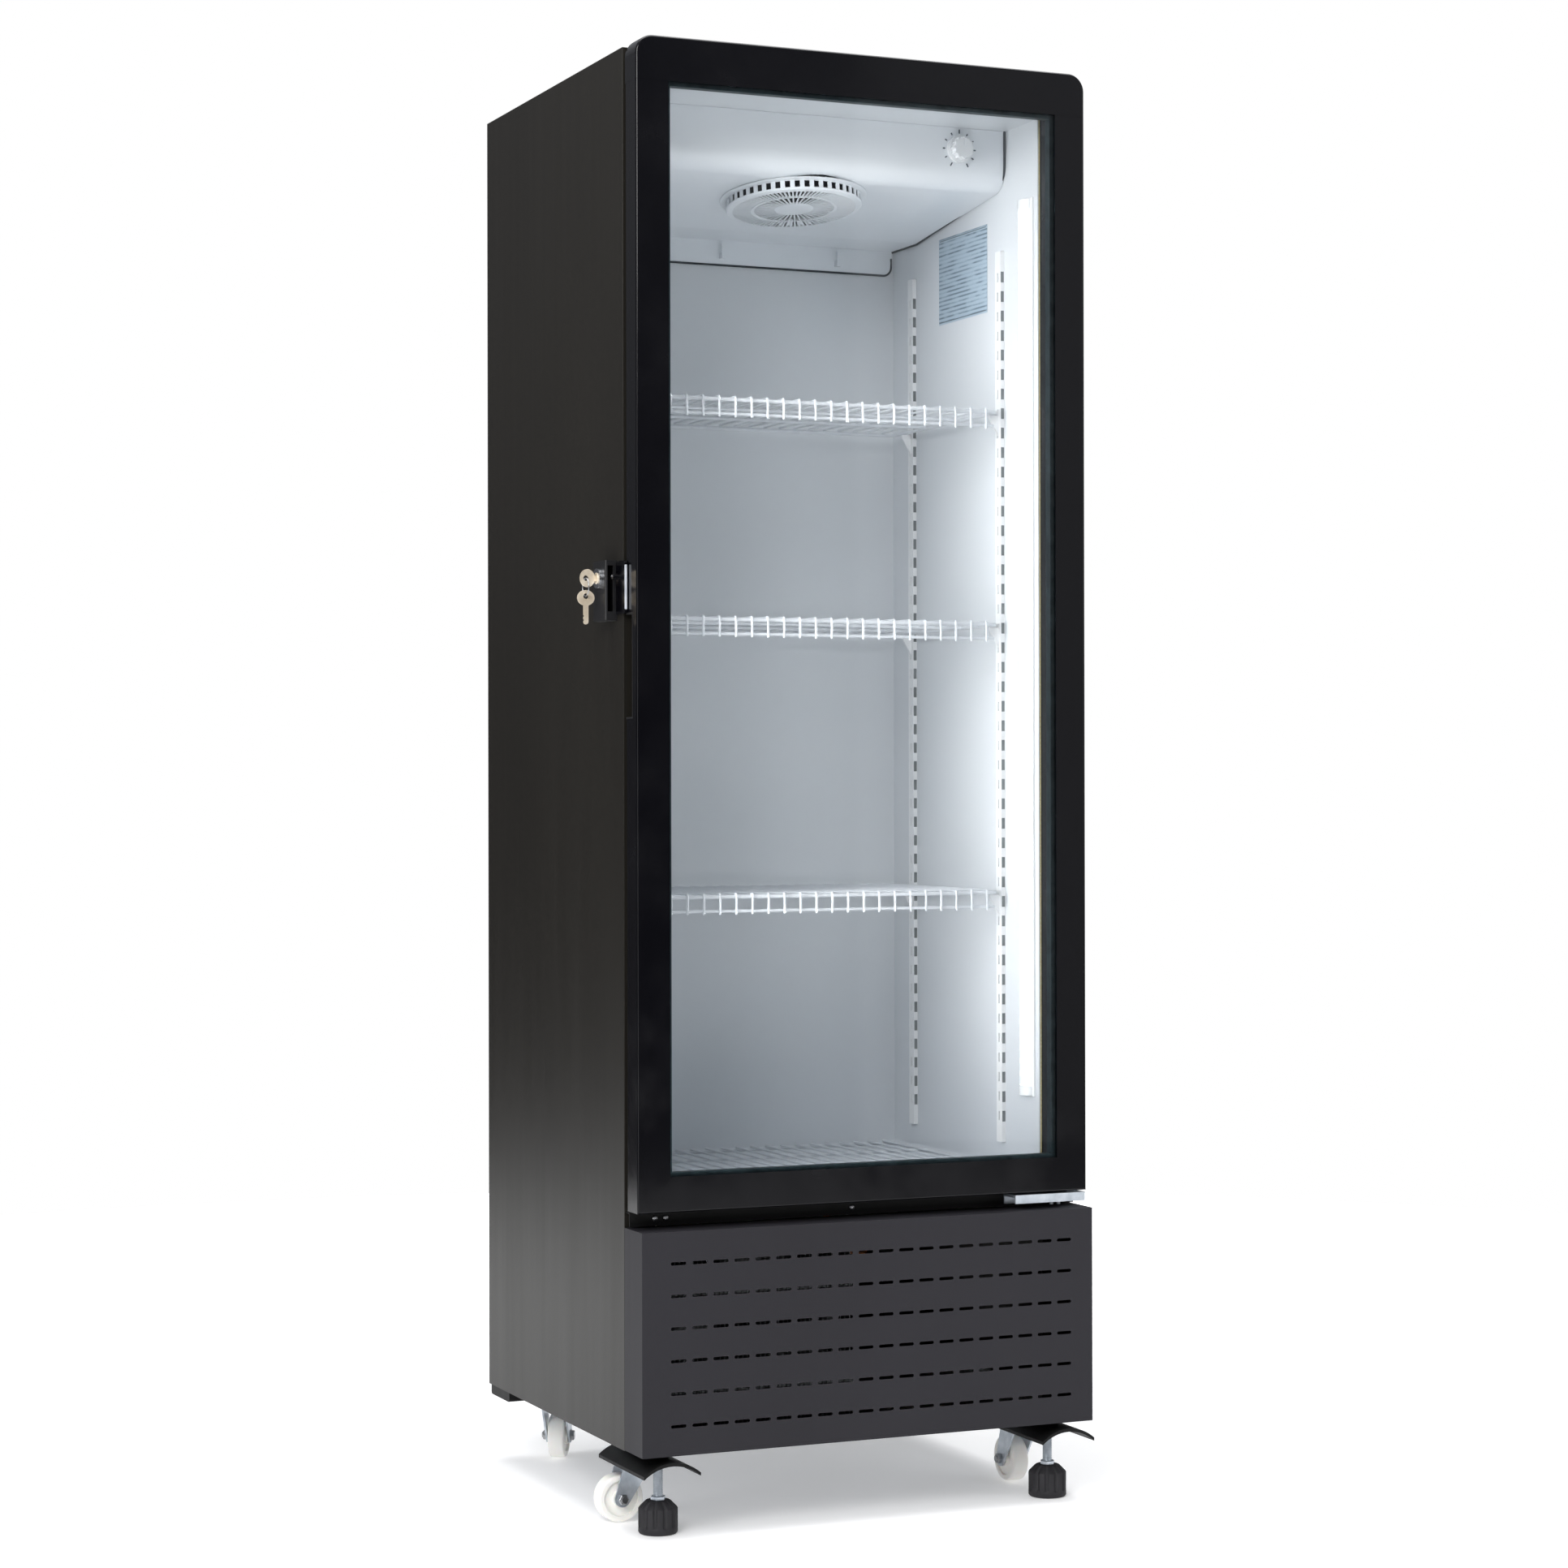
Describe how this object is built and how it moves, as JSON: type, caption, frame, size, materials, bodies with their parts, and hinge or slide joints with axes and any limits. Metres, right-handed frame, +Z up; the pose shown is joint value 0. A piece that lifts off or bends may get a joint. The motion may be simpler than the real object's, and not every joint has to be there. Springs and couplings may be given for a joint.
{
  "type": "upright glass-door drinks cooler",
  "caption": "Tall black refrigerated display cooler with a framed glass door, wire shelves, ceiling fan unit, side lock with keys, slotted kick panel, levelling feet and casters.",
  "frame": {"origin": "on the floor under the middle of the whole outline; the cabinet's middle plane is at x = +25.5 mm, because the lock and keys stand out on the left", "axes": "+X to the right seen from the front, +Y from the door to the rear, +Z up"},
  "size_m": [0.6545, 0.5826, 1.806],
  "materials": {
    "black_paint": "satin",
    "dark_grey_paint": "satin",
    "galvanised": "satin",
    "foam": "matte",
    "white_liner": "satin",
    "white_wire": "gloss",
    "black_gloss": "gloss",
    "black_plastic": "satin",
    "glass": "polished",
    "rubber": "matte",
    "zinc": "satin",
    "nylon": "satin",
    "coil_aluminium": "satin",
    "copper": "satin",
    "compressor_black": "gloss",
    "led_white": "matte",
    "key_steel": "satin",
    "screw_steel": "satin"
  },
  "bodies": {
    "cabinet": {"side_panel_left": "black_paint", "side_panel_right": "black_paint", "top_panel": "black_paint", "rear_panel": "galvanised", "rear_grille": "galvanised", "foam_insulation": "foam", "inner_liner": "white_liner", "front_rail": "black_paint", "base_deck": "galvanised", "grille_panel": "dark_grey_paint", "cabinet_screws": "screw_steel", "compressor": "compressor_black", "compressor_mounts": "rubber", "condenser_coil": "coil_aluminium", "condenser_fan_shroud": "black_plastic", "refrigerant_lines": "copper", "drain_pan": "black_plastic", "control_box": "black_plastic", "evaporator_cover": "white_liner", "evaporator_coil": "coil_aluminium", "evaporator_fan_motor": "black_plastic", "fan_grille": "white_liner", "shelf_standards": "white_wire", "shelf_clips": "white_wire", "led_strips": "led_white", "hinge_brackets": "zinc", "lock_housing": "black_plastic", "lock_barrel": "zinc", "front_brackets": "black_paint", "rear_supports": "galvanised"},
    "door": {"door_rail_left": "black_gloss", "door_rail_right": "black_gloss", "door_rail_bottom": "black_gloss", "door_rail_top": "black_gloss", "door_glass": "glass", "glass_spacer": "black_plastic", "door_gasket": "rubber", "door_handle": "black_plastic", "lock_keeper": "black_paint"},
    "lock": {"lock_core": "zinc", "lock_key": "key_steel"},
    "key_ring": {"key_ring": "key_steel"},
    "spare_key": {"spare_key": "key_steel"},
    "shelf_upper": {"shelf_upper": "white_wire"},
    "shelf_middle": {"shelf_middle": "white_wire"},
    "shelf_lower": {"shelf_lower": "white_wire"},
    "floor_rack": {"floor_rack": "white_wire"},
    "thermostat_knob": {"thermostat_knob": "white_liner"},
    "condenser_fan_blade": {"condenser_fan_blade": "black_plastic"},
    "evaporator_fan_blade": {"evaporator_fan_blade": "black_plastic"},
    "foot_left": {"foot_left": "rubber"},
    "foot_right": {"foot_right": "rubber"},
    "caster_fork_front_left": {"caster_fork_front_left": "zinc"},
    "caster_wheel_front_left": {"caster_wheel_front_left": "nylon"},
    "caster_fork_front_right": {"caster_fork_front_right": "zinc"},
    "caster_wheel_front_right": {"caster_wheel_front_right": "nylon"},
    "caster_fork_rear_left": {"caster_fork_rear_left": "zinc"},
    "caster_wheel_rear_left": {"caster_wheel_rear_left": "nylon"},
    "caster_fork_rear_right": {"caster_fork_rear_right": "zinc"},
    "caster_wheel_rear_right": {"caster_wheel_rear_right": "nylon"}
  },
  "joints": [
    {"name": "door_hinge", "type": "hinge", "parent": "cabinet", "child": "door", "pos_m": [0.3185, -0.2493, 1.098], "axis": [0, 0, 1], "range_deg": [0, 110]},
    {"name": "lock_turn", "type": "hinge", "parent": "cabinet", "child": "lock", "pos_m": [-0.2945, -0.1873, 1.157], "axis": [-1, 0, 0], "range_deg": [0, 90]},
    {"name": "key_ring_swing", "type": "hinge", "parent": "lock", "child": "key_ring", "pos_m": [-0.313, -0.1873, 1.157], "axis": [0, 1, 0], "range_deg": [-8, 75]},
    {"name": "spare_key_swing", "type": "hinge", "parent": "key_ring", "child": "spare_key", "pos_m": [-0.313, -0.1873, 1.135], "axis": [0, 1, 0], "range_deg": [-6, 45]},
    {"name": "shelf_upper_lift", "type": "slide", "parent": "cabinet", "child": "shelf_upper", "axis": [0, 0, 1], "range_m": [0, 0.04]},
    {"name": "shelf_middle_lift", "type": "slide", "parent": "cabinet", "child": "shelf_middle", "axis": [0, 0, 1], "range_m": [0, 0.04]},
    {"name": "shelf_lower_lift", "type": "slide", "parent": "cabinet", "child": "shelf_lower", "axis": [0, 0, 1], "range_m": [0, 0.04]},
    {"name": "floor_rack_lift", "type": "slide", "parent": "cabinet", "child": "floor_rack", "axis": [0, 0, 1], "range_m": [0, 0.04]},
    {"name": "thermostat_turn", "type": "hinge", "parent": "cabinet", "child": "thermostat_knob", "pos_m": [0.2205, -0.1433, 1.727], "axis": [0, -1, 0], "range_deg": [0, 300]},
    {"name": "condenser_fan_spin", "type": "hinge", "parent": "cabinet", "child": "condenser_fan_blade", "pos_m": [-0.1045, -0.1633, 0.222], "axis": [0, 1, 0], "continuous": true},
    {"name": "evaporator_fan_spin", "type": "hinge", "parent": "cabinet", "child": "evaporator_fan_blade", "pos_m": [0.0305, -0.0353, 1.668], "axis": [0, -0.124, -0.9923], "continuous": true},
    {"name": "foot_left_screw", "type": "slide", "parent": "cabinet", "child": "foot_left", "axis": [0, 0, 1], "range_m": [-0.01, 0.03]},
    {"name": "foot_right_screw", "type": "slide", "parent": "cabinet", "child": "foot_right", "axis": [0, 0, 1], "range_m": [-0.01, 0.03]},
    {"name": "caster_swivel_front_left", "type": "hinge", "parent": "cabinet", "child": "caster_fork_front_left", "pos_m": [-0.2405, -0.1593, 0.0805], "axis": [0, 0, 1], "continuous": true},
    {"name": "caster_roll_front_left", "type": "hinge", "parent": "caster_fork_front_left", "child": "caster_wheel_front_left", "pos_m": [-0.2625, -0.1593, 0.0305], "axis": [0, 1, 0], "continuous": true},
    {"name": "caster_swivel_front_right", "type": "hinge", "parent": "cabinet", "child": "caster_fork_front_right", "pos_m": [0.2915, -0.1593, 0.0805], "axis": [0, 0, 1], "continuous": true},
    {"name": "caster_roll_front_right", "type": "hinge", "parent": "caster_fork_front_right", "child": "caster_wheel_front_right", "pos_m": [0.2915, -0.1373, 0.0305], "axis": [1, 0, 0], "continuous": true},
    {"name": "caster_swivel_rear_left", "type": "hinge", "parent": "cabinet", "child": "caster_fork_rear_left", "pos_m": [-0.2025, 0.2347, 0.079], "axis": [0, 0, 1], "continuous": true},
    {"name": "caster_roll_rear_left", "type": "hinge", "parent": "caster_fork_rear_left", "child": "caster_wheel_rear_left", "pos_m": [-0.1915, 0.25375, 0.029], "axis": [0.866, -0.5, 0], "continuous": true},
    {"name": "caster_swivel_rear_right", "type": "hinge", "parent": "cabinet", "child": "caster_fork_rear_right", "pos_m": [0.2535, 0.2347, 0.079], "axis": [0, 0, 1], "continuous": true},
    {"name": "caster_roll_rear_right", "type": "hinge", "parent": "caster_fork_rear_right", "child": "caster_wheel_rear_right", "pos_m": [0.2535, 0.2567, 0.029], "axis": [1, 0, 0], "continuous": true}
  ]
}
